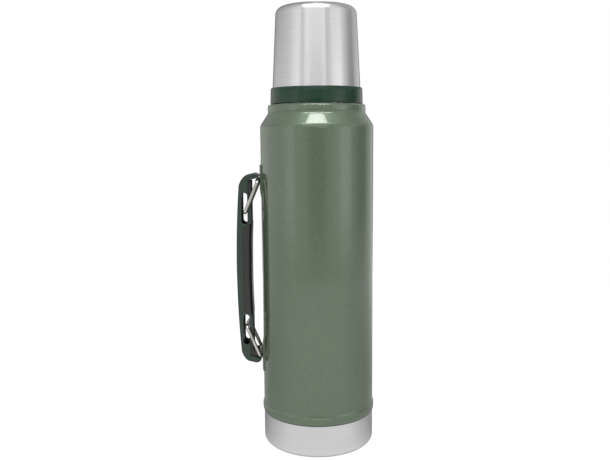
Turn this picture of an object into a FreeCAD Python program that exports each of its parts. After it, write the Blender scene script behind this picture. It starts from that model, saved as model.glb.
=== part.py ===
import FreeCAD, Part
import math
import os

import Sketcher

# Vacuum flask with a screw-on drinking cup, a screw-in stopper and a folding wire-hung handle.
# Millimetres. The origin is the centre of the foot on the flask's axis, +Z runs up the axis,
# and the handle stands on the -X side in the plane Y = 0.

Vector = FreeCAD.Vector

DIMENSIONS = {
    # outer shell
    "body_radius": 46.6,
    "shell_wall": 0.8,
    "seam_height": 28.2,
    "bead_proud": 0.95,
    "bead_top": 36.5,
    "shoulder_start": 266.2,
    "shoulder_radius": 41.0,
    "shoulder_top": 276.9,
    "collar_radius": 40.2,
    "collar_waist": 279.2,
    "collar_top": 285.2,
    # base
    "base_radius": 46.55,
    "base_wall": 0.9,
    "base_edge": 5.0,
    "foot_recess": 2.2,
    # neck and liner
    "neck_radius": 33.2,
    "neck_foot": 279.6,
    "neck_top": 301.0,
    "steel_wall": 0.8,
    "liner_radius": 38.6,
    "liner_edge": 9.5,
    "liner_floor": 13.0,
    "liner_shoulder": 252.0,
    "mouth_radius": 27.2,
    "jacket_plate_height": 6.0,
    "port_radius": 3.0,
    "getter_bore": 8.0,
    "getter_radius": 14.0,
    # threads
    "neck_thread_crest": 34.0,
    "cup_thread_crest": 34.4,
    "mouth_thread_crest": 26.5,
    "stopper_thread_crest": 26.1,
    "thread_pitch": 5.0,
    "thread_rise": 6.5,
    "thread_root": 0.3,
    "mouth_thread_foot": 283.0,
    "neck_thread_foot": 288.0,
    "cup_thread_foot": 286.6,
    "stopper_thread_foot": 281.0,
    # cup
    "ring_radius": 37.9,
    "ring_top_radius": 37.5,
    "ring_foot": 285.6,
    "ring_top": 298.6,
    "ring_bore": 35.6,
    "cup_rim": 296.5,
    "cup_rim_radius": 36.05,
    "cup_top_radius": 33.0,
    "cup_edge": 6.5,
    "total_height": 363.0,
    "cup_wall": 0.6,
    "cup_gap": 0.8,
    "cup_floor_gap": 3.4,
    # stopper
    "stopper_radius": 25.2,
    "stopper_foot": 260.0,
    "stopper_wall": 1.6,
    "gasket_radius": 26.0,
    "gasket_seat": 22.0,
    "gasket_height": 3.0,
    "flange_radius": 30.5,
    "flange_gap": 0.3,
    "flange_height": 3.0,
    "flange_bore": 20.0,
    "knob_radius": 24.0,
    "flute_radius": 3.6,
    "flute_count": 16,
    "knob_top": 322.0,
    # handle
    "handle_height": 149.5,
    "handle_width": 20.0,
    "handle_sheet": 1.3,
    "web_sheet": 1.5,
    "bow_end": 64.6,
    "bow_half": 70.0,
    "bow_radius": 876.0,
    "rail_face": 54.7,
    "rail_half": 74.9,
    "rail_depth": 2.6,
    "cheek_end_face": 57.0,
    "cheek_step_half": 57.0,
    "rail_bow": 2800.0,
    "arm_bend": 59.4,
    "arm_bend_half": 78.4,
    "arm_bend_radius": 16.0,
    "arm_crest": 52.5,
    "arm_crest_half": 80.1,
    "arm_tip": 48.1,
    "arm_tip_half": 77.9,
    "slot_centre": 60.2,
    "slot_width": 5.0,
    "slot_near": 38.3,
    "slot_far": 64.3,
    "grip_half": 39.1,
    "grip_outer": 61.4,
    "grip_face": 54.2,
    "grip_slant": 3.7,
    "grip_width": 20.8,
    "grip_round": 3.4,
    "bumper_reach": 52.1,
    "bumper_half": 72.2,
    "bumper_radius": 1.8,
    # bails and brackets
    "wire_radius": 1.5,
    "pivot_reach": 48.6,
    "pivot_half": 73.9,
    "bail_length": 28.0,
    "bail_lean": 23.1,
    "bail_half_width": 11.8,
    "bail_bend": 2.4,
    "pin_reach": 0.5,
    "pivot_clearance": 0.06,
    "bracket_proud": 1.1,
    "bracket_half_angle": 14.5,
    "bracket_inner": 60.0,
    "bracket_outer": 87.3,
    "knuckle_radius": 2.6,
    "knuckle_foot": 3.4,
    "knuckle_width": 8.0,
}

doc = FreeCAD.newDocument("vacuum_flask")


def write_sheet():
    """Put every driving dimension in the sheet, under its own name."""
    table = doc.addObject("Spreadsheet::Sheet", "Sizes")
    for row, (name, value) in enumerate(DIMENSIONS.items(), start=1):
        table.set(f"A{row}", name)
        table.set(f"B{row}", str(value))
        table.setAlias(f"B{row}", name)
    doc.recompute()
    return table


sheet = write_sheet()


def full(formula):
    """A formula in the sheet's names, such as body_radius - shell_wall, as an expression."""
    words = []
    word = ""
    for letter in str(formula) + " ":
        if letter.isalnum() or letter == "_":
            word += letter
            continue
        words.append(f"Sizes.{word}" if word in DIMENSIONS else word)
        words.append(letter)
        word = ""
    return "".join(words).strip()


def value(formula):
    return float(sheet.evalExpression(full(formula)))


def bind(thing, prop, formula):
    """Bind a property to the sheet."""
    thing.setExpression(prop, full(formula))


def new_body(label):
    body = doc.addObject("PartDesign::Body", label)
    body.Label = label
    doc.recompute()
    return body


def plane(body, role):
    return [f for f in body.Origin.OriginFeatures if f.Role == role][0]


def new_sketch(body, name, role, offset=None):
    """A sketch on one of the body's own planes, moved along the plane's normal if asked."""
    sketch = body.newObject("Sketcher::SketchObject", name)
    sketch.AttachmentSupport = [(plane(body, role), "")]
    sketch.MapMode = "FlatFace"
    if offset is not None:
        bind(sketch, "AttachmentOffset.Base.z", offset)
    return sketch


def pin_point(sketch, edge, end, across, up):
    """Hold one end of an edge at a place given by two formulas."""
    for kind, formula in (("DistanceX", across), ("DistanceY", up)):
        row = sketch.addConstraint(
            Sketcher.Constraint(kind, -1, 1, edge, end, value(formula))
        )
        bind(sketch, f"Constraints[{row}]", formula)


def arc_between(start, end, radius):
    """The short arc from start to end. A positive radius turns left, a negative one right."""
    middle = (start + end) * 0.5
    chord = end - start
    half = chord.Length / 2
    reach = math.sqrt(max(radius * radius - half * half, 0.0))
    left = Vector(-chord.y, chord.x, 0).normalize()
    side = 1 if radius > 0 else -1
    bulge = middle - left * ((abs(radius) - reach) * side)
    return Part.Arc(start, bulge, end)


def outline(sketch, corners):
    """Draw a closed outline. A corner is (across, up) or (across, up, radius of the arc to it)."""
    points = [Vector(value(c[0]), value(c[1]), 0) for c in corners]
    count = len(corners)
    ends = []
    for i in range(count):
        start = points[i - 1]
        end = points[i]
        radius = value(corners[i][2]) if len(corners[i]) > 2 else None
        if radius is None:
            edge = sketch.addGeometry(Part.LineSegment(start, end), False)
            ends.append((edge, 1, 2))
            continue
        edge = sketch.addGeometry(arc_between(start, end, radius), False)
        # a sketch keeps its arcs turning left, so an arc that turns right is stored backwards
        ends.append((edge, 1, 2) if radius > 0 else (edge, 2, 1))
        row = sketch.addConstraint(Sketcher.Constraint("Radius", edge, abs(radius)))
        bind(sketch, f"Constraints[{row}]", f"abs({corners[i][2]})")
    for i in range(count):
        edge, _, tail = ends[i]
        next_edge, head, _ = ends[(i + 1) % count]
        sketch.addConstraint(Sketcher.Constraint("Coincident", edge, tail, next_edge, head))
        pin_point(sketch, edge, tail, corners[i][0], corners[i][1])
    return sketch


def circle(sketch, across, up, radius):
    """Draw a circle whose centre and radius are formulas."""
    centre = Vector(value(across), value(up), 0)
    edge = sketch.addGeometry(Part.Circle(centre, Vector(0, 0, 1), value(radius)), False)
    pin_point(sketch, edge, 3, across, up)
    row = sketch.addConstraint(Sketcher.Constraint("Radius", edge, value(radius)))
    bind(sketch, f"Constraints[{row}]", radius)
    return sketch


def turned(body, name, corners):
    """Spin a closed half-section round the flask's axis."""
    sketch = outline(new_sketch(body, f"{name}_section", "XZ_Plane"), corners)
    spin = body.newObject("PartDesign::Revolution", name)
    spin.Profile = sketch
    spin.ReferenceAxis = (sketch, ["V_Axis"])
    spin.Angle = 360
    doc.recompute()
    return spin


def thread(body, name, root, crest, foot):
    """A single-start ridge on the wall of radius root, one and a bit turns long."""
    inward = value(crest) < value(root)
    buried = f"{root} + thread_root" if inward else f"{root} - thread_root"
    sketch = new_sketch(body, f"{name}_section", "XZ_Plane")
    outline(
        sketch,
        [(buried, foot), (crest, f"{foot} + 0.9"), (crest, f"{foot} + 1.7"), (buried, f"{foot} + 2.6")],
    )
    doc.recompute()
    ridge = body.newObject("PartDesign::AdditiveHelix", name)
    ridge.Profile = sketch
    ridge.ReferenceAxis = (sketch, ["V_Axis"])
    ridge.Mode = "pitch-height-angle"
    bind(ridge, "Pitch", "thread_pitch")
    bind(ridge, "Height", "thread_rise")
    doc.recompute()
    return ridge


def pad(body, name, sketch, length):
    """Pad a sketch evenly to both sides of its plane."""
    block = body.newObject("PartDesign::Pad", name)
    block.Profile = sketch
    block.SideType = "Symmetric"
    bind(block, "Length", length)
    doc.recompute()
    return block


def pocket(body, name, sketch, length):
    """Cut a sketch evenly to both sides of its plane, and make sure that it cuts."""
    before = body.Shape.Volume
    cut = body.newObject("PartDesign::Pocket", name)
    cut.Profile = sketch
    cut.SideType = "Symmetric"
    bind(cut, "Length", length)
    doc.recompute()
    if not body.Shape.Volume < before:
        raise RuntimeError(f"{name} cuts nothing")
    return cut


# ---------------------------------------------------------------- flask body


def make_outer_shell():
    """Painted jacket: cylinder with a rolled foot bead, a shoulder cone and a rolled collar."""
    body = new_body("outer_shell")
    inside = "body_radius - shell_wall"
    turned(
        body,
        "jacket",
        [
            (inside, "seam_height"),
            ("body_radius + 0.3", "seam_height"),
            ("body_radius + bead_proud", "seam_height + 1.2", "2"),
            ("body_radius + bead_proud", "bead_top - 3.2"),
            ("body_radius", "bead_top", "-8"),
            ("body_radius", "shoulder_start"),
            ("body_radius - 0.8", "shoulder_start + 3.4", "6"),
            ("shoulder_radius", "shoulder_top"),
            ("collar_radius - 0.2", "collar_waist", "-4"),
            ("collar_radius", "collar_waist + 1.6", "4"),
            ("collar_radius - 0.15", "collar_top - 1.6"),
            ("collar_radius - 1.6", "collar_top", "1.6"),
            ("neck_radius", "collar_top"),
            ("neck_radius", "collar_top - shell_wall"),
            ("collar_radius - 2.0", "collar_top - shell_wall"),
            ("collar_radius - 1.1", "collar_waist"),
            ("shoulder_radius - 0.9", "shoulder_top - 0.6"),
            (inside, "shoulder_start"),
        ],
    )
    return body


def make_base_cup():
    """Brushed steel cup that closes the foot, with a shallow recess inside its standing ring."""
    body = new_body("base_cup")
    turned(
        body,
        "base",
        [
            ("0", "foot_recess"),
            ("base_radius - 12", "foot_recess"),
            ("base_radius - 9.5", "0"),
            ("base_radius - base_edge", "0"),
            ("base_radius", "base_edge", "base_edge"),
            ("base_radius", "seam_height - 0.1"),
            ("base_radius - base_wall", "seam_height - 0.1"),
            ("base_radius - base_wall", "base_edge"),
            ("base_radius - base_edge", "base_wall", "-(base_edge - base_wall)"),
            ("base_radius - 9.0", "base_wall"),
            ("base_radius - 11.5", "foot_recess + base_wall"),
            ("0", "foot_recess + base_wall"),
        ],
    )
    return body


def make_jacket_plate():
    """Pressed disc welded across the foot of the vacuum jacket, with the pump-out port."""
    body = new_body("jacket_plate")
    foot = "jacket_plate_height"
    turned(
        body,
        "plate",
        [
            ("port_radius", foot),
            ("base_radius - base_wall - 4.5", foot),
            ("base_radius - base_wall - 3.4", f"{foot} + 3"),
            ("base_radius - base_wall - 0.1", f"{foot} + 4.5"),
            ("base_radius - base_wall - 0.1", "seam_height + 6"),
            ("base_radius - base_wall - 0.1 - steel_wall", "seam_height + 6"),
            ("base_radius - base_wall - 0.1 - steel_wall", f"{foot} + 5"),
            ("base_radius - base_wall - 4.4", f"{foot} + 3 + steel_wall"),
            ("base_radius - base_wall - 5.4", f"{foot} + steel_wall"),
            ("port_radius", f"{foot} + steel_wall"),
        ],
    )
    return body


def make_evacuation_seal():
    """Bead of brazing glass that closes the pump-out port."""
    body = new_body("evacuation_seal")
    foot = "jacket_plate_height"
    turned(
        body,
        "bead",
        [
            ("0", f"{foot} - 1.4"),
            ("2", f"{foot} - 1.2"),
            ("port_radius + 0.6", f"{foot} - 0.05"),
            ("port_radius", f"{foot} - 0.05"),
            ("port_radius", f"{foot} + steel_wall"),
            ("0", f"{foot} + steel_wall"),
        ],
    )
    return body


def make_getter():
    """Getter ring that keeps the vacuum hard, spot-welded on the inside of the plate."""
    body = new_body("getter_ring")
    foot = "jacket_plate_height + steel_wall"
    turned(
        body,
        "ring",
        [
            ("getter_bore", foot),
            ("getter_radius", foot),
            ("getter_radius", f"{foot} + 1.6"),
            ("getter_radius - 1", f"{foot} + 2.2"),
            ("getter_bore + 1", f"{foot} + 2.2"),
            ("getter_bore", f"{foot} + 1.6"),
        ],
    )
    return body


def make_inner_vessel():
    """Deep-drawn steel liner: flat floor, rounded corner and straight wall up to the weld."""
    body = new_body("inner_vessel")
    wall = "steel_wall"
    edge = "liner_edge"
    turned(
        body,
        "liner",
        [
            ("0", "liner_floor"),
            (f"liner_radius - {edge}", "liner_floor"),
            ("liner_radius", f"liner_floor + {edge}", edge),
            ("liner_radius", "liner_shoulder"),
            (f"liner_radius - {wall}", "liner_shoulder"),
            (f"liner_radius - {wall}", f"liner_floor + {edge}"),
            (f"liner_radius - {edge}", f"liner_floor + {wall}", f"-({edge} - {wall})"),
            ("0", f"liner_floor + {wall}"),
        ],
    )
    return body


def make_mouth_tube():
    """Upper half of the liner, welded to the lower: shoulder and mouth tube with a thread inside."""
    body = new_body("mouth_tube")
    wall = "steel_wall"
    turned(
        body,
        "tube",
        [
            ("liner_radius", "liner_shoulder"),
            ("mouth_radius + 3.8", "liner_shoulder + 17", "22"),
            ("mouth_radius + 0.8", "liner_shoulder + 21", "-6"),
            ("mouth_radius + 0.8", f"neck_top - {wall}"),
            ("mouth_radius", f"neck_top - {wall}"),
            ("mouth_radius", "liner_shoulder + 20.6"),
            ("mouth_radius + 3.3", "liner_shoulder + 16.4", "6.6"),
            (f"liner_radius - {wall}", "liner_shoulder", "-21.2"),
        ],
    )
    thread(body, "mouth_thread", "mouth_radius", "mouth_thread_crest", "mouth_thread_foot")
    return body


def make_threaded_neck():
    """Bare steel neck: a tube rising from the collar, a rolled lip and the cup's thread."""
    body = new_body("threaded_neck")
    turned(
        body,
        "neck",
        [
            ("neck_radius - steel_wall", "neck_foot"),
            ("neck_radius", "neck_foot"),
            ("neck_radius", "neck_top - 1.2"),
            ("neck_radius - 1.2", "neck_top", "1.2"),
            ("mouth_radius + 0.3", "neck_top"),
            ("mouth_radius", "neck_top - 0.3"),
            ("mouth_radius", "neck_top - steel_wall"),
            ("neck_radius - steel_wall", "neck_top - steel_wall"),
        ],
    )
    thread(body, "neck_thread", "neck_radius", "neck_thread_crest", "neck_thread_foot")
    return body


def make_bracket(label, side):
    """Plate curved to the jacket, with a knuckle that holds one bail's crossbar.

    side is 1 for the upper bracket and -1 for the lower one, its mirror image.
    """
    body = new_body(label)

    def up(offset):
        return f"handle_height + {side} * ({offset})"

    face = "-(body_radius + bracket_proud)"
    skin = "-body_radius"
    corners = [
        (skin, up("bracket_inner")),
        ("-(body_radius + 0.15)", up("bracket_inner")),
        (face, up("bracket_inner + 6.5")),
        (face, up("bracket_outer - 0.5")),
        ("-(body_radius + bracket_proud - 0.5)", up("bracket_outer")),
        (skin, up("bracket_outer")),
    ]
    sketch = outline(new_sketch(body, "plate_section", "XZ_Plane"), corners)
    plate = body.newObject("PartDesign::Revolution", "plate")
    plate.Profile = sketch
    plate.ReferenceAxis = (sketch, ["V_Axis"])
    plate.Midplane = True
    bind(plate, "Angle", "2 * bracket_half_angle")
    doc.recompute()
    knuckle = new_sketch(body, "knuckle_outline", "XZ_Plane")
    outline(
        knuckle,
        [
            ("-(body_radius + 0.4)", up("pivot_half + knuckle_foot")),
            ("-pivot_reach", up("pivot_half + knuckle_radius")),
            ("-(pivot_reach + knuckle_radius)", up("pivot_half"), f"{side} * knuckle_radius"),
            ("-pivot_reach", up("pivot_half - knuckle_radius"), f"{side} * knuckle_radius"),
            ("-(body_radius + 0.4)", up("pivot_half - knuckle_foot")),
        ],
    )
    pad(body, "knuckle", knuckle, "knuckle_width")
    hole = circle(
        new_sketch(body, "pivot_hole", "XZ_Plane"),
        "-pivot_reach",
        up("pivot_half"),
        "wire_radius + pivot_clearance",
    )
    pocket(body, "pivot", hole, "knuckle_width + 20")
    return body


# ---------------------------------------------------------------- handle


def make_bail(label, side):
    """Wire bail: a crossbar, two legs and two ends turned inwards as pins.

    It is drawn flat with its crossbar on the local origin and its legs down, then leaned
    outwards and set on its pivot.
    """
    body = new_body(label)
    width = value("bail_half_width")
    length = value("bail_length")
    bend = value("bail_bend")
    reach = value("pin_reach")
    route = new_sketch(body, "route", "YZ_Plane")
    points = [
        Vector(-reach, -length, 0),
        Vector(-width + bend, -length, 0),
        Vector(-width, -length + bend, 0),
        Vector(-width, -bend, 0),
        Vector(-width + bend, 0, 0),
        Vector(width - bend, 0, 0),
        Vector(width, -bend, 0),
        Vector(width, -length + bend, 0),
        Vector(width - bend, -length, 0),
        Vector(reach, -length, 0),
    ]
    for i in range(len(points) - 1):
        if i % 2 == 0:
            route.addGeometry(Part.LineSegment(points[i], points[i + 1]), False)
        else:
            route.addGeometry(arc_between(points[i], points[i + 1], -bend), False)
    section = new_sketch(body, "wire", "XZ_Plane", "pin_reach")
    circle(section, "0", "-bail_length", "wire_radius")
    doc.recompute()
    wire = body.newObject("PartDesign::AdditivePipe", "bent_wire")
    wire.Profile = section
    wire.Spine = (route, [f"Edge{i + 1}" for i in range(len(points) - 1)])
    doc.recompute()
    lean = value("bail_lean")
    turn = lean if side > 0 else 180 - lean
    place = Vector(-value("pivot_reach"), 0, value(f"handle_height + {side} * pivot_half"))
    body.Placement = FreeCAD.Placement(place, FreeCAD.Rotation(Vector(0, 1, 0), turn))
    return body


def mirrored_outline(half):
    """Corners of a shape that is even about the handle's middle, from those of its upper half."""
    upper = [(c[0], f"handle_height + ({c[1]})") + tuple(c[2:]) for c in half]
    lower = []
    for i in range(len(half) - 1, -1, -1):
        # the arc to a corner in the upper half leads from it in the lower half
        after = half[i + 1] if i + 1 < len(half) else None
        corner = (half[i][0], f"handle_height - ({half[i][1]})")
        if after is not None and len(after) > 2:
            corner += (after[2],)
        lower.append(corner)
    return upper + lower


def make_handle_channel():
    """Bowed steel channel, open towards the flask, with its ends folded in and slotted cheeks."""
    body = new_body("handle_channel")
    side = new_sketch(body, "side_outline", "XZ_Plane")
    half = [
        ("-rail_face", "cheek_step_half"),
        ("-cheek_end_face", "cheek_step_half + 2.5"),
        ("-cheek_end_face", "rail_half - 0.6"),
        ("-arm_tip", "arm_tip_half - 1.0"),
        ("-arm_tip", "arm_tip_half"),
        ("-arm_crest", "arm_crest_half", "5"),
        ("-arm_bend", "arm_bend_half"),
        ("-bow_end", "bow_half", "arm_bend_radius"),
    ]
    corners = mirrored_outline(half)
    corners[len(half)] = corners[len(half)][:2] + ("bow_radius",)
    corners[0] = corners[0][:2] + ("-rail_bow",)
    outline(side, corners)
    pad(body, "bar", side, "handle_width")

    inside = new_sketch(body, "channel_outline", "XZ_Plane")
    half = [
        ("-rail_face + 8", "rail_half - 2"),
        ("-arm_tip + 8", "arm_tip_half - 0.6"),
        ("-arm_tip - web_sheet", "arm_tip_half - 0.6"),
        ("-arm_crest", "arm_crest_half - web_sheet"),
        ("-arm_bend + 0.4", "arm_bend_half - web_sheet"),
        ("-bow_end + web_sheet", "bow_half - 0.4", "arm_bend_radius - web_sheet"),
    ]
    corners = mirrored_outline(half)
    corners[len(half)] = corners[len(half)][:2] + ("bow_radius",)
    outline(inside, corners)
    pocket(body, "channel", inside, "handle_width - 2 * handle_sheet")

    notch = new_sketch(body, "grip_notch", "XZ_Plane")
    rise = "grip_slant * (grip_face - rail_face + 4) / (grip_outer - grip_face)"
    half = [
        ("-rail_face + 4", f"grip_half + 0.1 + {rise}"),
        ("-grip_outer", "grip_half + 0.1 - grip_slant"),
    ]
    corners = mirrored_outline(half)
    corners[2] = corners[2][:2] + ("bow_radius",)
    outline(notch, corners)
    pocket(body, "grip_seat", notch, "handle_width + 10")

    for name, sign in (("upper_slots", 1), ("lower_slots", -1)):
        slot = new_sketch(body, f"{name}_outline", "XZ_Plane")
        left = "-slot_centre - slot_width / 2"
        right = "-slot_centre + slot_width / 2"
        near = f"handle_height + {sign} * (slot_near + slot_width / 2)"
        far = f"handle_height + {sign} * (slot_far - slot_width / 2)"
        turn = f"{-sign} * slot_width / 2 * 1.0001"
        outline(slot, [(left, near), (left, far), (right, far, turn), (right, near)])
        pocket(body, name, slot, "handle_width + 10")
        round_end = circle(
            new_sketch(body, f"{name}_end", "XZ_Plane"),
            "-slot_centre",
            near,
            "slot_width / 2",
        )
        pocket(body, f"{name}_round", round_end, "handle_width + 10")
    return body


def make_handle_grip():
    """Moulded grip in the channel's notch, with a tongue that keys it and rails along the cheeks."""
    body = new_body("handle_grip")
    face = new_sketch(body, "grip_outline", "XZ_Plane")
    half = [("-grip_face", "grip_half"), ("-grip_outer + 0.1", "grip_half - grip_slant")]
    corners = mirrored_outline(half)
    corners[2] = corners[2][:2] + ("bow_radius",)
    corners[0] = corners[0][:2] + ("-bow_radius",)
    outline(face, corners)
    block = pad(body, "grip", face, "grip_width")
    long_edges = []
    for number, edge in enumerate(block.Shape.Edges, start=1):
        box = edge.BoundBox
        along = box.ZLength > value("grip_half")
        inner = box.XMax > -value("grip_face") - 2
        if along and inner:
            long_edges.append(f"Edge{number}")
    rounding = body.newObject("PartDesign::Fillet", "palm_rounding")
    rounding.Base = (block, long_edges)
    bind(rounding, "Radius", "grip_round")
    doc.recompute()

    tongue = new_sketch(body, "tongue_outline", "XZ_Plane")
    half = [("-grip_outer + 2", "grip_half - 6"), ("-bow_end + web_sheet + 0.2", "grip_half - 6")]
    outline(tongue, mirrored_outline(half))
    pad(body, "tongue", tongue, "handle_width - 2 * handle_sheet - 0.1")

    for name, sign in (("upper_rails", 1), ("lower_rails", -1)):
        strip = new_sketch(body, f"{name}_outline", "XZ_Plane")
        outline(
            strip,
            [
                ("-rail_face", f"handle_height + {sign} * (grip_half - 3)"),
                ("-rail_face", f"handle_height + {sign} * (rail_half - 1)"),
                ("-rail_face - rail_depth", f"handle_height + {sign} * (rail_half - 1)"),
                ("-rail_face - rail_depth", f"handle_height + {sign} * (grip_half - 3)"),
            ],
        )
        pad(body, name, strip, "handle_width - 2 * handle_sheet - 0.1")
        if sign < 0:
            tab = new_sketch(body, "bumper_neck", "XZ_Plane")
            top = "handle_height - bumper_half + bumper_radius"
            bottom = "handle_height - bumper_half - bumper_radius"
            outline(
                tab,
                [
                    ("-rail_face - 1", top),
                    ("-bumper_reach", top),
                    ("-bumper_reach", bottom),
                    ("-rail_face - 1", bottom),
                ],
            )
            pad(body, "bumper_tab", tab, "handle_width - 2 * handle_sheet - 0.1")
            disc = circle(
                new_sketch(body, "bumper_outline", "XZ_Plane"),
                "-bumper_reach",
                "handle_height - bumper_half",
                "bumper_radius",
            )
            pad(body, "bumper", disc, "handle_width - 2 * handle_sheet - 0.1")
        gap = new_sketch(body, f"{name}_gap", "XZ_Plane")
        outline(
            gap,
            [
                ("-rail_face + 6", f"handle_height + {sign} * (grip_half + 0.05)"),
                ("-rail_face + 6", f"handle_height + {sign} * (rail_half + 2)"),
                ("-rail_face - 8", f"handle_height + {sign} * (rail_half + 2)"),
                ("-rail_face - 8", f"handle_height + {sign} * (grip_half + 0.05)"),
            ],
        )
        pocket(body, f"{name}_split", gap, "handle_width - 2 * handle_sheet - 3")
    return body


# ---------------------------------------------------------------- cup


def make_cup_shell():
    """Brushed outer wall of the drinking cup, mouth down over the stopper."""
    body = new_body("cup_shell")
    wall = "cup_wall"
    edge = "cup_edge"
    turned(
        body,
        "wall",
        [
            (f"cup_rim_radius - {wall}", "cup_rim"),
            ("cup_rim_radius", "cup_rim"),
            ("cup_top_radius", f"total_height - {edge}"),
            (f"cup_top_radius - {edge}", "total_height", edge),
            ("0", "total_height"),
            ("0", f"total_height - {wall}"),
            (f"cup_top_radius - {edge}", f"total_height - {wall}"),
            (f"cup_top_radius - {wall}", f"total_height - {edge}", f"-({edge} - {wall})"),
        ],
    )
    return body


def make_cup_liner():
    """Inner wall of the drinking cup, flared at its rim to meet the outer wall."""
    body = new_body("cup_liner")
    wall = "cup_wall"
    gap = "(cup_wall + cup_gap)"
    top = "(total_height - cup_floor_gap)"
    turned(
        body,
        "wall",
        [
            (f"cup_rim_radius - {gap} - {wall}", "cup_rim + 0.1"),
            (f"cup_rim_radius - {wall} - 0.15", "cup_rim + 0.1"),
            (f"cup_rim_radius - {wall} - 0.2", f"cup_rim + 0.1 + {wall}"),
            (f"cup_rim_radius - {gap} - 0.1", "cup_rim + 1.6"),
            (f"cup_top_radius - {gap}", f"{top} - 6"),
            (f"cup_top_radius - {gap} - 6", top, "6"),
            ("0", top),
            ("0", f"{top} - {wall}"),
            (f"cup_top_radius - {gap} - 6", f"{top} - {wall}"),
            (f"cup_top_radius - {gap} - {wall}", f"{top} - 6", "-5.4"),
        ],
    )
    return body


def make_cup_collar():
    """Moulded ring round the cup's rim, with the thread that grips the neck."""
    body = new_body("cup_collar")
    turned(
        body,
        "ring",
        [
            ("ring_bore", "ring_foot"),
            ("ring_radius - 0.3", "ring_foot"),
            ("ring_radius", "ring_foot + 0.3"),
            ("ring_top_radius", "ring_top - 0.5"),
            ("ring_top_radius - 0.5", "ring_top"),
            ("cup_rim_radius + 0.05", "ring_top"),
            ("cup_rim_radius + 0.05", "cup_rim - 0.05"),
            ("ring_bore", "cup_rim - 0.05"),
        ],
    )
    thread(body, "collar_thread", "ring_bore", "cup_thread_crest", "cup_thread_foot")
    return body


# ---------------------------------------------------------------- stopper


def make_stopper_body():
    """Hollow threaded plug with a flange over the mouth and a seat for its gasket."""
    body = new_body("stopper_body")
    foot = "stopper_foot"
    seat = f"({foot} + 2.4)"
    flange = "(neck_top + flange_gap)"
    wall = "stopper_wall"
    turned(
        body,
        "plug",
        [
            (f"gasket_seat - {wall}", foot),
            ("stopper_radius - 0.8", foot),
            ("stopper_radius", f"{foot} + 0.8"),
            ("stopper_radius", seat),
            ("gasket_seat", seat),
            ("gasket_seat", f"{seat} + gasket_height + 0.2"),
            ("stopper_radius", f"{seat} + gasket_height + 0.2"),
            ("stopper_radius", flange),
            ("flange_radius", flange),
            ("flange_radius", f"{flange} + flange_height - 1"),
            ("flange_radius - 1", f"{flange} + flange_height", "1"),
            ("flange_bore", f"{flange} + flange_height"),
            ("flange_bore", f"{flange} + 1"),
            (f"stopper_radius - {wall}", f"{flange} + 1"),
            (f"stopper_radius - {wall}", f"{seat} + gasket_height + 1.8"),
            (f"gasket_seat - {wall}", f"{seat} + gasket_height + 0.4"),
        ],
    )
    thread(body, "stopper_thread", "stopper_radius", "stopper_thread_crest", "stopper_thread_foot")
    return body


def make_stopper_core():
    """Insulating foam inside the plug."""
    body = new_body("stopper_core")
    foot = "stopper_foot"
    turned(
        body,
        "foam",
        [
            ("0", f"{foot} + 2.1"),
            ("gasket_seat - stopper_wall - 0.1", f"{foot} + 2.1"),
            ("gasket_seat - stopper_wall - 0.1", f"{foot} + 7.6"),
            ("stopper_radius - stopper_wall - 0.1", f"{foot} + 9.2"),
            ("stopper_radius - stopper_wall - 0.1", "neck_top + 1.0"),
            ("0", "neck_top + 1.0"),
        ],
    )
    return body


def make_stopper_base():
    """Disc that closes the plug's foot under the foam."""
    body = new_body("stopper_base")
    foot = "stopper_foot"
    turned(
        body,
        "disc",
        [
            ("0", f"{foot} - 1.2"),
            ("stopper_radius - 2", f"{foot} - 1.2"),
            ("stopper_radius - 1", f"{foot} - 0.05"),
            ("gasket_seat - stopper_wall - 0.05", f"{foot} - 0.05"),
            ("gasket_seat - stopper_wall - 0.05", f"{foot} + 2"),
            ("0", f"{foot} + 2"),
        ],
    )
    return body


def make_stopper_gasket():
    """Lipped silicone ring in the plug's seat."""
    body = new_body("stopper_gasket")
    foot = "(stopper_foot + 2.5)"
    turned(
        body,
        "ring",
        [
            ("gasket_seat + 0.06", foot),
            ("gasket_radius - 0.7", foot),
            ("gasket_radius", f"{foot} + 0.7", "0.7"),
            ("gasket_radius - 0.5", f"{foot} + gasket_height / 2", "-1.6"),
            ("gasket_radius", f"{foot} + gasket_height - 0.7", "-1.6"),
            ("gasket_radius - 0.7", f"{foot} + gasket_height", "0.7"),
            ("gasket_seat + 0.06", f"{foot} + gasket_height"),
        ],
    )
    return body


def make_mouth_gasket():
    """Flat silicone ring under the flange, fixed to it."""
    body = new_body("flange_gasket")
    flange = "(neck_top + flange_gap)"
    turned(
        body,
        "ring",
        [
            ("stopper_radius + 0.1", f"{flange} - 1.7"),
            ("mouth_radius - 0.5", f"{flange} - 1.7"),
            ("mouth_radius - 0.5", f"{flange} - 0.02"),
            ("stopper_radius + 0.1", f"{flange} - 0.02"),
        ],
    )
    return body


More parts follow.
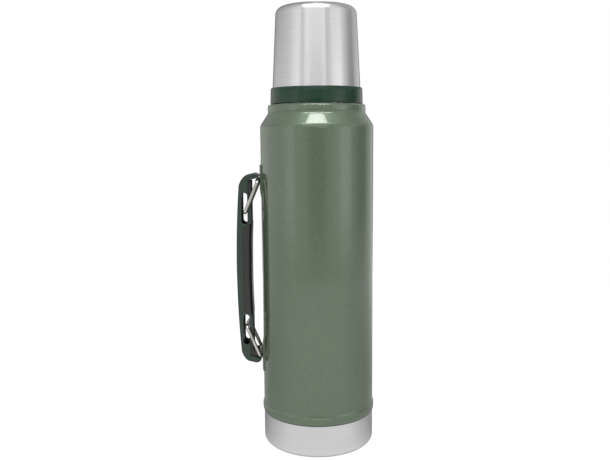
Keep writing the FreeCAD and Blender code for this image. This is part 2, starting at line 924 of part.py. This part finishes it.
def make_stopper_knob():
    """Turning knob on the plug: a drum with finger flutes and a raised rim."""
    body = new_body("stopper_knob")
    flange = "(neck_top + flange_gap + flange_height)"
    turned(
        body,
        "drum",
        [
            ("0", f"{flange} - 1.7"),
            ("flange_bore - 0.1", f"{flange} - 1.7"),
            ("flange_bore - 0.1", f"{flange} + 0.05"),
            ("knob_radius + 1.5", f"{flange} + 0.05"),
            ("knob_radius + 1.5", f"{flange} + 2.2"),
            ("knob_radius", f"{flange} + 3.6", "-1.8"),
            ("knob_radius - 0.6", "knob_top - 2"),
            ("knob_radius - 2.6", "knob_top", "2"),
            ("knob_radius - 5", "knob_top"),
            ("knob_radius - 6.2", "knob_top - 1.6"),
            ("0", "knob_top - 2.2"),
        ],
    )
    flute = circle(
        new_sketch(body, "flute_section", "XY_Plane", "neck_top + flange_gap + flange_height + 4.4"),
        "knob_radius + 2.2",
        "0",
        "flute_radius",
    )
    cut = body.newObject("PartDesign::Pocket", "flute")
    cut.Profile = flute
    cut.Reversed = True
    bind(cut, "Length", "knob_top - neck_top")
    before = body.Shape.Volume
    doc.recompute()
    if not body.Shape.Volume < before:
        raise RuntimeError("the flute cuts nothing")
    ring = body.newObject("PartDesign::PolarPattern", "flutes")
    ring.Originals = [cut]
    ring.Axis = (flute, ["N_Axis"])
    ring.Angle = 360
    ring.Occurrences = int(value("flute_count"))
    body.Tip = ring
    doc.recompute()
    return body


# ---------------------------------------------------------------- build and write


def build():
    return [
        make_outer_shell(),
        make_base_cup(),
        make_jacket_plate(),
        make_evacuation_seal(),
        make_getter(),
        make_inner_vessel(),
        make_mouth_tube(),
        make_threaded_neck(),
        make_bracket("upper_bracket", 1),
        make_bracket("lower_bracket", -1),
        make_bail("upper_bail", 1),
        make_bail("lower_bail", -1),
        make_handle_channel(),
        make_handle_grip(),
        make_cup_shell(),
        make_cup_liner(),
        make_cup_collar(),
        make_stopper_body(),
        make_stopper_core(),
        make_stopper_base(),
        make_stopper_gasket(),
        make_mouth_gasket(),
        make_stopper_knob(),
    ]


def check(pieces):
    """Stop unless every object is sound and every piece is a closed, valid solid."""
    for thing in doc.Objects:
        if {"Invalid", "Error"} & set(thing.State):
            raise RuntimeError(f"{thing.Name} ({thing.Label}) failed: {thing.State}")
    for piece in pieces:
        shape = piece.Shape
        if shape.isNull() or not shape.isValid() or not shape.Solids:
            raise RuntimeError(f"{piece.Label} has no valid solid")


def write(pieces):
    os.makedirs("parts", exist_ok=True)
    for piece in pieces:
        piece.Shape.exportStep(f"parts/{piece.Label}.step")
        box = piece.Shape.optimalBoundingBox(False, False)
        print(
            f"{piece.Label:16s} solids {len(piece.Shape.Solids)} volume {piece.Shape.Volume:10.1f}"
            f"  x {box.XMin:7.2f} {box.XMax:7.2f}  y {box.YMin:7.2f} {box.YMax:7.2f}"
            f"  z {box.ZMin:7.2f} {box.ZMax:7.2f}"
        )


parts = build()
doc.recompute()
check(parts)
write(parts)
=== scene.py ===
"""Looks for the vacuum flask: materials, edge finish, floor, light and camera on the frame."""
import math

import bpy
from mathutils import Matrix, Vector

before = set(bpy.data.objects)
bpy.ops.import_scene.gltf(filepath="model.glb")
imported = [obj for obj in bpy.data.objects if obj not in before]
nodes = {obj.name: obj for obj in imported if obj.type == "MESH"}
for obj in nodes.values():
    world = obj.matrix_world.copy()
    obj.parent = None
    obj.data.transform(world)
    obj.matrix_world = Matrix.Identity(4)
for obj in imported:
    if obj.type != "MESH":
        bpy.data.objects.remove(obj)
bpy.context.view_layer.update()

# ---------------------------------------------------------------- colours, linear

PAINT = (0.088, 0.132, 0.0785)
PAINT_DARK = (0.059, 0.091, 0.052)
PAINT_FLECK = (0.140, 0.186, 0.131)
RING_GREEN = (0.0065, 0.0350, 0.0160)
RING_GREEN_WORN = (0.018, 0.046, 0.030)
HANDLE_GREEN = (0.014, 0.034, 0.021)
HANDLE_GREEN_WORN = (0.060, 0.092, 0.072)
GRIP_BLACK = (0.016, 0.0155, 0.0150)
GRIP_GREY = (0.050, 0.049, 0.047)
# painted shade for the grip's faces that look towards the flask
GRIP_INWARD_SHADE = (0.0035, 0.0028, 0.0032)
STEEL = (0.67, 0.67, 0.67)
STEEL_DARK = (0.62, 0.62, 0.62)
STEEL_LIGHT = (0.74, 0.74, 0.735)
BASE_LIGHT = (0.635, 0.635, 0.635)
BASE_DARK = (0.585, 0.585, 0.585)
# painted shade in the seam where the steel base meets the jacket
SEAM_SHADE = (0.035, 0.045, 0.035)
WIRE = (0.63, 0.61, 0.58)
WIRE_DARK = (0.30, 0.28, 0.26)
RUBBER = (0.42, 0.42, 0.40)
RUBBER_DARK = (0.30, 0.30, 0.29)
PLUG = (0.020, 0.021, 0.021)
PLUG_WORN = (0.075, 0.076, 0.075)
FOAM = (0.72, 0.66, 0.50)
FOAM_DARK = (0.55, 0.48, 0.34)
GLASS_SEAL = (0.16, 0.19, 0.15)
GLASS_SEAL_DARK = (0.08, 0.09, 0.08)
GETTER = (0.30, 0.30, 0.31)
GETTER_DARK = (0.15, 0.15, 0.16)
FLOOR_PALE = (0.86, 0.86, 0.86)
FLOOR_MOTTLE = (0.84, 0.84, 0.84)
# painted shade on the floor behind the flask
FLOOR_SHADE_BEHIND = (0.44, 0.44, 0.44)
ROOM_FADED = (0.78, 0.78, 0.78)
WHITE = (1.0, 1.0, 1.0)

# ---------------------------------------------------------------- pattern sizes and depths

# noise and cell patterns, as a scale per metre
DIMPLES = 620.0
DIMPLE_WANDER = 260.0
METAL_FLAKES = 2600.0
ORANGE_PEEL = 1300.0
PAINT_CLOUDS = 14.0
PAINT_SHEEN = 90.0
HAND_SMEARS = 22.0
MOULD_CLOUDS = 45.0
MOULD_GRAIN = 2200.0
GRIP_GRAIN = 1500.0
PLUG_GRAIN = 1700.0
EDGE_RUBS = 160.0
WIRE_MARKS = 170.0
RUBBER_CLOUDS = 60.0
RUBBER_SKIN = 1800.0
FOAM_CELLS = 900.0
GLASS_SWIRLS = 420.0
GETTER_GRIT = 2400.0
FLOOR_CLOUDS = 30.0

# strokes of brushed and drawn metal: how far they stretch round and along
FINE_STROKES = (2.2, 5200.0)
BROAD_STROKES = (1.1, 700.0)
DRAW_LINES = (2600.0, 3200.0, 240.0)

# depths of relief, in metres
HAMMER_DEPTH = 0.00005
BRUSH_DEPTH = 0.000003
MOULD_WAVE_DEPTH = 0.00006
MOULD_GRAIN_DEPTH = 0.00002
GRIP_GRAIN_DEPTH = 0.00005
PLUG_GRAIN_DEPTH = 0.00004
FINE_DEPTH = 0.00002
FOAM_DEPTH = 0.0003
GLASS_DEPTH = 0.0001
GETTER_DEPTH = 0.00004

# widths of the worn or lightened line along edges, in metres
PAINT_EDGE = 0.0006
WORN_EDGE = 0.0005

# heights between which a painted shade darkens the steel base into the seam under the jacket, in
# metres
BASE_SEAM_SHADE = (0.0271, 0.0276)

# sockets of a Mix node that is set to colours
MIX_FIRST, MIX_SECOND, MIX_RESULT = 6, 7, 2


# ---------------------------------------------------------------- node helpers


class Tree:
    """Short ways to add and join the nodes of one node tree."""

    def __init__(self, tree):
        self.tree = tree

    def add(self, kind, **settings):
        node = self.tree.nodes.new(kind)
        for key, setting in settings.items():
            setattr(node, key, setting)
        return node

    def link(self, source, target):
        self.tree.links.new(source, target)

    def feed(self, socket, source):
        """Give a socket another node's output or a plain number."""
        if hasattr(source, "links"):
            self.link(source, socket)
        else:
            socket.default_value = source

    def maths(self, operation, first, second=0.0):
        node = self.add("ShaderNodeMath", operation=operation)
        self.feed(node.inputs[0], first)
        self.feed(node.inputs[1], second)
        return node.outputs[0]

    def weigh(self, first, second, share):
        """The first source by its share, and the second by the rest."""
        part = self.maths("MULTIPLY", first, share)
        rest = self.maths("MULTIPLY", second, 1.0 - share)
        return self.maths("ADD", part, rest)

    def split(self, vector):
        """A vector's X, Y and Z outputs."""
        node = self.add("ShaderNodeSeparateXYZ")
        self.link(vector, node.inputs[0])
        return node.outputs

    def between(self, source, low, high, to_low=0.0, to_high=1.0, shape="LINEAR"):
        """The source's range low to high, spread over another range and held at its ends."""
        node = self.add("ShaderNodeMapRange", clamp=True, interpolation_type=shape)
        self.link(source, node.inputs["Value"])
        for name, number in (
            ("From Min", low),
            ("From Max", high),
            ("To Min", to_low),
            ("To Max", to_high),
        ):
            node.inputs[name].default_value = number
        return node.outputs["Result"]

    def blend(self, amount, first, second):
        """Mix two colours, each a plain colour or another node's output."""
        node = self.add("ShaderNodeMix", data_type="RGBA")
        self.feed(node.inputs["Factor"], amount)
        for place, colour in ((MIX_FIRST, first), (MIX_SECOND, second)):
            if hasattr(colour, "links"):
                self.link(colour, node.inputs[place])
            else:
                node.inputs[place].default_value = (*colour, 1.0)
        return node.outputs[MIX_RESULT]

    def to_camera(self, share, elsewhere, seen):
        """Show the camera a share of another shader. The light and reflections keep the first."""
        amount = self.add("ShaderNodeLightPath").outputs["Is Camera Ray"]
        mix = self.add("ShaderNodeMixShader")
        self.link(self.maths("MULTIPLY", amount, share), mix.inputs[0])
        self.link(elsewhere, mix.inputs[1])
        self.link(seen, mix.inputs[2])
        return mix.outputs[0]


class Surface(Tree):
    """A Principled material under construction."""

    def __init__(self, name, **shader):
        self.material = bpy.data.materials.new(name)
        self.material.use_nodes = True
        super().__init__(self.material.node_tree)
        self.shader = self.tree.nodes["Principled BSDF"]
        for socket, number in shader.items():
            self.shader.inputs[socket.replace("_", " ")].default_value = number
        self.where = self.add("ShaderNodeTexCoord").outputs["Object"]
        self.height = None

    def scaled(self, x, y, z):
        """Object coordinates stretched along each axis."""
        node = self.add("ShaderNodeMapping")
        node.inputs["Scale"].default_value = (x, y, z)
        self.link(self.where, node.inputs["Vector"])
        return node.outputs["Vector"]

    def turned(self, around, along):
        """Coordinates that run round the flask's axis and along its section, for lathe marks."""
        x, y, z = self.split(self.where)
        angle = self.maths("ARCTAN2", y, x)
        flat = self.maths("MULTIPLY", x, x)
        deep = self.maths("MULTIPLY", y, y)
        radius = self.maths("SQRT", self.maths("ADD", flat, deep))
        section = self.maths("ADD", radius, z)
        join = self.add("ShaderNodeCombineXYZ")
        self.link(self.maths("MULTIPLY", self.maths("COSINE", angle), around), join.inputs[0])
        self.link(self.maths("MULTIPLY", self.maths("SINE", angle), around), join.inputs[1])
        self.link(self.maths("MULTIPLY", section, along), join.inputs[2])
        return join.outputs[0]

    def noise(self, scale, detail=3.0, rough=0.55, vector=None):
        node = self.add("ShaderNodeTexNoise")
        node.inputs["Scale"].default_value = scale
        node.inputs["Detail"].default_value = detail
        node.inputs["Roughness"].default_value = rough
        self.link(vector or self.where, node.inputs["Vector"])
        return node.outputs["Fac"]

    def cells(self, scale, feature):
        node = self.add("ShaderNodeTexVoronoi", feature=feature)
        node.inputs["Scale"].default_value = scale
        self.link(self.where, node.inputs["Vector"])
        return node.outputs["Distance"]

    def edges(self, width, sharp=0.12):
        """One along convex and concave edges, nought on open faces."""
        bevel = self.add("ShaderNodeBevel", samples=4)
        bevel.inputs["Radius"].default_value = width
        flat = self.add("ShaderNodeNewGeometry").outputs["Normal"]
        dot = self.add("ShaderNodeVectorMath", operation="DOT_PRODUCT")
        self.link(bevel.outputs["Normal"], dot.inputs[0])
        self.link(flat, dot.inputs[1])
        return self.between(dot.outputs["Value"], 1.0, 1.0 - sharp)

    def colour(self, source):
        self.feed(self.shader.inputs["Base Color"], source)

    def roughness(self, source):
        self.feed(self.shader.inputs["Roughness"], source)

    def relief(self, source, depth, strength):
        """Add a bump of that depth in metres. Bumps are chained, coarse ones first."""
        bump = self.add("ShaderNodeBump")
        bump.inputs["Strength"].default_value = strength
        bump.inputs["Distance"].default_value = depth
        self.link(source, bump.inputs["Height"])
        if self.height is not None:
            self.link(self.height, bump.inputs["Normal"])
        self.height = bump.outputs["Normal"]
        self.link(self.height, self.shader.inputs["Normal"])

    def brushed_round(self, amount):
        """Anisotropy for a surface brushed round the flask's axis."""
        quarter_turn = 0.25
        self.shader.inputs["Anisotropic"].default_value = amount
        self.shader.inputs["Anisotropic Rotation"].default_value = quarter_turn
        tangent = self.add("ShaderNodeTangent", direction_type="RADIAL", axis="Z")
        self.link(tangent.outputs["Tangent"], self.shader.inputs["Tangent"])


# ---------------------------------------------------------------- materials


def hammertone():
    """Green hammered enamel: shallow dimples with darker rims, flakes and a glossy clear coat."""
    s = Surface(
        "hammertone_enamel",
        Metallic=0.34,
        Specular_IOR_Level=0.1,
        Coat_Weight=1.0,
        Coat_Roughness=0.06,
        Coat_IOR=1.6,
    )
    wander = s.noise(DIMPLE_WANDER, 2.0, 0.5)
    pattern = s.maths("ADD", s.cells(DIMPLES, "SMOOTH_F1"), s.maths("MULTIPLY", wander, 0.5))
    drift = s.noise(PAINT_CLOUDS, 4.0, 0.6)
    base = s.blend(s.between(pattern, 0.45, 0.95, 0.0, 0.35), PAINT, PAINT_DARK)
    fleck = s.between(s.noise(METAL_FLAKES, 2.0, 0.7), 0.56, 0.70, 0.0, 0.55)
    base = s.blend(fleck, base, PAINT_FLECK)
    base = s.blend(s.between(drift, 0.40, 0.75, 0.0, 0.22), base, PAINT_DARK)
    s.colour(s.blend(s.maths("MULTIPLY", s.edges(PAINT_EDGE), 0.35), base, PAINT_FLECK))
    s.roughness(s.between(s.noise(PAINT_SHEEN, 3.0, 0.6), 0.3, 0.7, 0.32, 0.40))
    s.relief(s.between(pattern, 0.3, 1.1), HAMMER_DEPTH, 0.5)
    s.relief(s.noise(ORANGE_PEEL, 2.0, 0.6), HAMMER_DEPTH, 0.6)
    return s.material


def brushed_steel(name, light, dark, rough, brush, seam_shade=None):
    """Stainless steel brushed round the flask, with fine and broad strokes and faint smears.

    A seam shade is the pair of heights between which a painted shade darkens it upwards, into the
    seam under the jacket.
    """
    s = Surface(name, Metallic=1.0)
    fine = s.noise(1.0, 3.0, 0.7, s.turned(*FINE_STROKES))
    broad = s.noise(1.0, 2.0, 0.5, s.turned(*BROAD_STROKES))
    stroke = s.weigh(fine, broad, 0.65)
    smear = s.noise(HAND_SMEARS, 4.0, 0.6)
    base = s.blend(s.between(stroke, 0.34, 0.66), dark, light)
    base = s.blend(s.between(smear, 0.45, 0.75, 0.0, 0.18), base, dark)
    base = s.blend(s.maths("MULTIPLY", s.edges(WORN_EDGE), 0.4), base, STEEL_LIGHT)
    # painted shade: the base darkens upwards into the seam under the jacket
    if seam_shade:
        height = s.split(s.where)["Z"]
        base = s.blend(s.between(height, *seam_shade), base, SEAM_SHADE)
    s.colour(base)
    s.roughness(s.between(s.weigh(stroke, smear, 0.6), 0.3, 0.7, rough - 0.02, rough + 0.02))
    s.relief(stroke, BRUSH_DEPTH, 0.1)
    s.brushed_round(brush)
    return s.material


def moulded(
    name,
    body_colour,
    worn_colour,
    rough,
    wear,
    grain=MOULD_GRAIN,
    depth=MOULD_GRAIN_DEPTH,
    inward_shade=None,
    **shader,
):
    """Moulded or painted plastic with an eggshell grain and rubbed edges.

    An inward shade colour takes over on the faces that look towards the flask: painted shade where
    the flask shades them.
    """
    s = Surface(name, Coat_Weight=0.15, Coat_Roughness=0.2, **shader)
    drift = s.noise(MOULD_CLOUDS, 4.0, 0.6)
    speck = s.noise(grain, 2.0, 0.6)
    shade = tuple(0.72 * channel for channel in body_colour)
    base = s.blend(s.between(drift, 0.3, 0.7), shade, body_colour)
    base = s.blend(s.between(speck, 0.55, 0.75, 0.0, 0.25), base, worn_colour)
    patches = s.between(s.noise(EDGE_RUBS, 3.0, 0.7), 0.38, 0.62)
    rub = s.maths("MULTIPLY", s.edges(WORN_EDGE), patches)
    base = s.blend(s.maths("MULTIPLY", rub, wear), base, worn_colour)
    # painted shade: a darker colour on the faces that look towards the flask, where the flask
    # shades them
    if inward_shade:
        facing = s.split(s.add("ShaderNodeNewGeometry").outputs["Normal"])["X"]
        base = s.blend(s.between(facing, 0.15, 0.7), base, inward_shade)
    s.colour(base)
    s.roughness(s.between(drift, 0.3, 0.7, rough - 0.05, rough + 0.08))
    s.relief(drift, MOULD_WAVE_DEPTH, 0.25)
    s.relief(speck, depth, 0.5)
    return s.material


def wire_steel():
    """Drawn stainless wire: bright, with fine draw lines and darker handling marks."""
    s = Surface("drawn_wire", Metallic=1.0)
    draw = s.noise(1.0, 3.0, 0.6, s.scaled(*DRAW_LINES))
    marks = s.noise(WIRE_MARKS, 4.0, 0.65)
    base = s.blend(s.between(marks, 0.46, 0.74, 0.0, 0.7), WIRE, WIRE_DARK)
    s.colour(s.blend(s.between(draw, 0.35, 0.75, 0.0, 0.3), base, WIRE_DARK))
    s.roughness(s.between(marks, 0.3, 0.7, 0.14, 0.30))
    s.relief(draw, FINE_DEPTH, 0.3)
    return s.material


def rubber():
    """Pale silicone with a soft matt skin."""
    s = Surface("silicone", Subsurface_Weight=0.15)
    cloud = s.noise(RUBBER_CLOUDS, 4.0, 0.6)
    s.colour(s.blend(s.between(cloud, 0.3, 0.7), RUBBER_DARK, RUBBER))
    s.roughness(s.between(cloud, 0.3, 0.7, 0.5, 0.64))
    s.relief(s.noise(RUBBER_SKIN, 2.0, 0.5), FINE_DEPTH, 0.4)
    return s.material


def foam():
    """Rigid insulating foam: open cells cut through at the surface."""
    s = Surface("insulating_foam")
    cell = s.cells(FOAM_CELLS, "F1")
    s.colour(s.blend(s.between(cell, 0.1, 0.7), FOAM_DARK, FOAM))
    s.roughness(s.between(cell, 0.1, 0.7, 0.8, 0.95))
    s.relief(cell, FOAM_DEPTH, 0.8)
    return s.material


def sealing_glass():
    """Brazing glass, glossy and a little wavy, with darker swirls."""
    s = Surface("sealing_glass", Coat_Weight=0.6, Coat_Roughness=0.05)
    swirl = s.noise(GLASS_SWIRLS, 3.0, 0.6)
    s.colour(s.blend(s.between(swirl, 0.3, 0.7), GLASS_SEAL_DARK, GLASS_SEAL))
    s.roughness(s.between(swirl, 0.3, 0.7, 0.12, 0.25))
    s.relief(swirl, GLASS_DEPTH, 0.4)
    return s.material


def getter_metal():
    """Sintered getter alloy, dull and granular."""
    s = Surface("getter_alloy", Metallic=0.8)
    grit = s.noise(GETTER_GRIT, 3.0, 0.7)
    s.colour(s.blend(s.between(grit, 0.35, 0.65), GETTER_DARK, GETTER))
    s.roughness(s.between(grit, 0.3, 0.7, 0.55, 0.8))
    s.relief(grit, GETTER_DEPTH, 0.6)
    return s.material


PAINTED = hammertone()
BASE_STEEL = brushed_steel(
    "brushed_base", BASE_LIGHT, BASE_DARK, rough=0.30, brush=0.6, seam_shade=BASE_SEAM_SHADE
)
CUP_STEEL = brushed_steel("brushed_cup", STEEL, STEEL_DARK, rough=0.20, brush=0.9)
INNER_STEEL = brushed_steel("inner_steel", STEEL_LIGHT, STEEL, rough=0.30, brush=0.5)
RING_PLASTIC = moulded(
    "ring_plastic", RING_GREEN, RING_GREEN_WORN, rough=0.15, wear=0.35, Specular_IOR_Level=0.3
)
HANDLE_PAINT = moulded("handle_paint", HANDLE_GREEN, HANDLE_GREEN_WORN, rough=0.36, wear=0.55)
GRIP_PLASTIC = moulded(
    "grip_plastic",
    GRIP_BLACK,
    GRIP_GREY,
    rough=0.40,
    wear=0.35,
    grain=GRIP_GRAIN,
    depth=GRIP_GRAIN_DEPTH,
    inward_shade=GRIP_INWARD_SHADE,
)
PLUG_PLASTIC = moulded(
    "plug_plastic",
    PLUG,
    PLUG_WORN,
    rough=0.38,
    wear=0.4,
    grain=PLUG_GRAIN,
    depth=PLUG_GRAIN_DEPTH,
)
WIRE_STEEL = wire_steel()
SILICONE = rubber()
FOAM_CORE = foam()
SEAL_GLASS = sealing_glass()
GETTER_ALLOY = getter_metal()

FINISH = {
    "outer_shell": PAINTED,
    "upper_bracket": PAINTED,
    "lower_bracket": PAINTED,
    "base_cup": BASE_STEEL,
    "jacket_plate": INNER_STEEL,
    "evacuation_seal": SEAL_GLASS,
    "getter_ring": GETTER_ALLOY,
    "inner_vessel": INNER_STEEL,
    "mouth_tube": INNER_STEEL,
    "threaded_neck": INNER_STEEL,
    "upper_bail": WIRE_STEEL,
    "lower_bail": WIRE_STEEL,
    "handle_channel": HANDLE_PAINT,
    "handle_grip": GRIP_PLASTIC,
    "cup_shell": CUP_STEEL,
    "cup_liner": CUP_STEEL,
    "cup_collar": RING_PLASTIC,
    "stopper_body": PLUG_PLASTIC,
    "stopper_base": PLUG_PLASTIC,
    "stopper_knob": PLUG_PLASTIC,
    "stopper_core": FOAM_CORE,
    "stopper_gasket": SILICONE,
    "flange_gasket": SILICONE,
}

# widths of the small rounding on pressed and moulded edges, in metres
ROUNDING = {
    "handle_channel": 0.00035,
    "handle_grip": 0.0003,
    "cup_collar": 0.0004,
    "stopper_knob": 0.0004,
    "upper_bracket": 0.0002,
    "lower_bracket": 0.0002,
}
# points closer than this are one point to the rounding, and flatter edges are left sharp
WELD_DISTANCE = 0.000001
SHARP_ANGLE = math.radians(38)


def dress(name, material):
    """Give a CAD node its material, and round its sharp edges without moving the mesh itself."""
    node = nodes[name]
    node.data.materials.clear()
    node.data.materials.append(material)
    if name in ROUNDING:
        weld = node.modifiers.new("weld", "WELD")
        weld.merge_threshold = WELD_DISTANCE
        bevel = node.modifiers.new("rounding", "BEVEL")
        bevel.width = ROUNDING[name]
        bevel.segments = 2
        bevel.limit_method = "ANGLE"
        bevel.angle_limit = SHARP_ANGLE
        bevel.harden_normals = True


for name in nodes:
    dress(name, FINISH[name])


# ---------------------------------------------------------------- floor

FLOOR_RADIUS = 0.75
FLOOR_SIDES = 64
# the floor's colour holds a painted shade, darker from the side of the camera to the side behind
# the flask: between these values of Y over the distance from the axis
BEHIND = (-0.65, 0.25)
# and it is even again between these distances from the axis, in metres
EVEN_AGAIN = (0.25, 0.7)
FLOOR_GLOW = 1.2
GLOW_SHARE = 0.82


def make_floor():
    """A round pale floor, a white glow to the camera with a soft shadow left in it, and painted
    shade behind.
    """
    turns = [math.tau * side / FLOOR_SIDES for side in range(FLOOR_SIDES)]
    points = [
        (FLOOR_RADIUS * math.cos(turn), FLOOR_RADIUS * math.sin(turn), 0.0) for turn in turns
    ]
    mesh = bpy.data.meshes.new("floor")
    mesh.from_pydata(points, [], [list(range(FLOOR_SIDES))])
    floor = bpy.data.objects.new("floor", mesh)
    bpy.context.scene.collection.objects.link(floor)
    s = Surface("pale_floor", Roughness=0.9, Specular_IOR_Level=0.1)
    near = s.blend(s.noise(FLOOR_CLOUDS), FLOOR_MOTTLE, FLOOR_PALE)
    distance = s.add("ShaderNodeVectorMath", operation="LENGTH")
    s.link(s.where, distance.inputs[0])
    behind = s.maths("DIVIDE", s.split(s.where)["Y"], distance.outputs["Value"])
    # painted shade: the floor's colour darkens behind the flask
    shade = s.blend(s.between(behind, *BEHIND), near, FLOOR_SHADE_BEHIND)
    s.colour(s.blend(s.between(distance.outputs["Value"], *EVEN_AGAIN), shade, near))
    glow = s.add("ShaderNodeEmission")
    glow.inputs["Strength"].default_value = FLOOR_GLOW
    surface = s.to_camera(GLOW_SHARE, s.shader.outputs[0], glow.outputs[0])
    s.link(surface, s.tree.nodes["Material Output"].inputs["Surface"])
    mesh.materials.append(s.material)


# ---------------------------------------------------------------- light

# The room that lights the flask and shows in it, as bands: degrees to the right of the camera, and
# grey. In the low bands the brightest are two softboxes 50 to 60 degrees to the sides, the gap
# between them is dim in front, and there are narrow dark strips just off the back.
LOW_BANDS = (
    (-179.0, 0.55),
    (-170.0, 0.40),
    (-163.0, 0.14),
    (-148.0, 0.60),
    (-120.0, 0.88),
    (-90.0, 0.95),
    (-72.0, 1.05),
    (-60.0, 1.45),
    (-48.0, 1.50),
    (-43.0, 1.00),
    (-25.0, 0.85),
    (-9.0, 0.34),
    (9.0, 0.30),
    (24.0, 0.80),
    (43.0, 1.15),
    (52.0, 1.75),
    (66.0, 1.65),
    (80.0, 0.70),
    (96.0, 0.30),
    (109.0, 0.28),
    (125.0, 0.70),
    (150.0, 0.80),
    (163.0, 0.14),
    (170.0, 0.40),
    (179.0, 0.55),
)
# the high bands are brightest in front, and the cup and the shoulder show them
HIGH_BANDS = (
    (-179.0, 0.70),
    (-171.0, 0.55),
    (-165.0, 0.12),
    (-154.0, 0.36),
    (-129.0, 0.52),
    (-112.0, 0.60),
    (-86.0, 0.74),
    (-66.0, 0.90),
    (-50.0, 1.02),
    (-43.0, 1.04),
    (-38.0, 0.72),
    (-33.0, 0.98),
    (-26.0, 1.20),
    (22.0, 1.20),
    (28.0, 0.70),
    (36.0, 0.78),
    (44.0, 1.06),
    (54.0, 0.92),
    (63.0, 1.00),
    (76.0, 0.92),
    (87.0, 0.78),
    (99.0, 0.58),
    (112.0, 0.46),
    (129.0, 0.58),
    (154.0, 0.60),
    (165.0, 0.12),
    (171.0, 0.55),
    (179.0, 0.70),
)
# the high bands take over between these heights above the horizon, in degrees
BAND_CHANGE = (6.8, 8.8)
# below the horizon the low bands fade into an even grey, between these heights in degrees
BAND_FADE = (-13.0, -4.0)
ROOM_LIGHT = 0.96

SOFTBOX_PLACE = (0.0, -0.48, 1.07)
SOFTBOX_AIM = (0.0, -0.48, 0.0)
SOFTBOX_WIDTH = 0.86
SOFTBOX_DEPTH = 0.28
SOFTBOX_WATTS = 7.0


def band_colours(tree, turn, stops):
    """The greys of a list of bands, by the share of a full turn from the back."""
    ramp = tree.add("ShaderNodeValToRGB")
    ramp.color_ramp.interpolation = "EASE"
    elements = ramp.color_ramp.elements
    for degrees, grey in stops:
        elements.new((degrees + 180.0) / 360.0).color = (grey, grey, grey, 1.0)
    elements.remove(elements[0])
    elements.remove(elements[-1])
    tree.link(turn, ramp.inputs["Fac"])
    return ramp.outputs["Color"]


def make_world():
    """A white room: plain white to look at, softly banded round the flask to light it."""
    world = bpy.data.worlds.new("studio")
    bpy.context.scene.world = world
    world.use_nodes = True
    world.node_tree.nodes.clear()
    tree = Tree(world.node_tree)
    x, y, z = tree.split(tree.add("ShaderNodeTexCoord").outputs["Generated"])
    # azimuth nought looks from the flask towards -Y, and runs to the right of someone there
    azimuth = tree.maths("ARCTAN2", x, tree.maths("MULTIPLY", y, -1.0))
    turn = tree.between(azimuth, -math.pi, math.pi)

    def above(limits):
        low, high = (math.sin(math.radians(degrees)) for degrees in limits)
        return tree.between(z, low, high, shape="SMOOTHSTEP")

    low_room = tree.blend(above(BAND_FADE), ROOM_FADED, band_colours(tree, turn, LOW_BANDS))
    shade = tree.blend(above(BAND_CHANGE), low_room, band_colours(tree, turn, HIGH_BANDS))
    room = tree.add("ShaderNodeBackground")
    tree.link(shade, room.inputs["Color"])
    room.inputs["Strength"].default_value = ROOM_LIGHT
    seen = tree.add("ShaderNodeBackground")
    seen.inputs["Color"].default_value = (*WHITE, 1.0)
    surface = tree.to_camera(1.0, room.outputs[0], seen.outputs[0])
    tree.link(surface, tree.add("ShaderNodeOutputWorld").inputs["Surface"])


def make_softbox():
    """One softbox above and in front, which lights the shoulder and the cup's top edge."""
    data = bpy.data.lights.new("softbox_above", "AREA")
    data.shape = "RECTANGLE"
    data.size = SOFTBOX_WIDTH
    data.size_y = SOFTBOX_DEPTH
    data.energy = SOFTBOX_WATTS
    lamp = bpy.data.objects.new("softbox_above", data)
    bpy.context.scene.collection.objects.link(lamp)
    lamp.location = SOFTBOX_PLACE
    lamp.rotation_mode = "QUATERNION"
    down = Vector(SOFTBOX_AIM) - Vector(SOFTBOX_PLACE)
    lamp.rotation_quaternion = down.to_track_quat("-Z", "Y")
    lamp.visible_camera = False


# ---------------------------------------------------------------- camera

CAMERA_PLACE = (0.0, -0.6041, 0.2618)
LENS = 42.75
SENSOR_WIDTH = 36.0
NEAREST = 0.01
FARTHEST = 20.0
# how far the camera is tipped down, rolled and turned to the right, in radians
TIP, ROLL, TURN = 0.1323, -0.0083, -0.0171


def make_camera():
    """The viewing angle: at the height of the flask's upper part, tipped down, barely rolled."""
    data = bpy.data.cameras.new("view")
    data.sensor_width = SENSOR_WIDTH
    data.lens = LENS
    data.clip_start = NEAREST
    data.clip_end = FARTHEST
    camera = bpy.data.objects.new("view", data)
    bpy.context.scene.collection.objects.link(camera)
    flat_ahead = Vector((math.sin(TURN), math.cos(TURN), 0.0))
    ahead = flat_ahead * math.cos(TIP) - Vector((0.0, 0.0, math.sin(TIP)))
    level = Vector((math.cos(TURN), -math.sin(TURN), 0.0))
    above = level.cross(ahead)
    right = level * math.cos(ROLL) + above * math.sin(ROLL)
    up = above * math.cos(ROLL) - level * math.sin(ROLL)
    axes = Matrix((right, up, -ahead)).transposed().to_4x4()
    camera.matrix_world = Matrix.Translation(CAMERA_PLACE) @ axes
    bpy.context.scene.camera = camera


make_floor()
make_world()
make_softbox()
make_camera()
bpy.context.scene.view_settings.view_transform = "Standard"
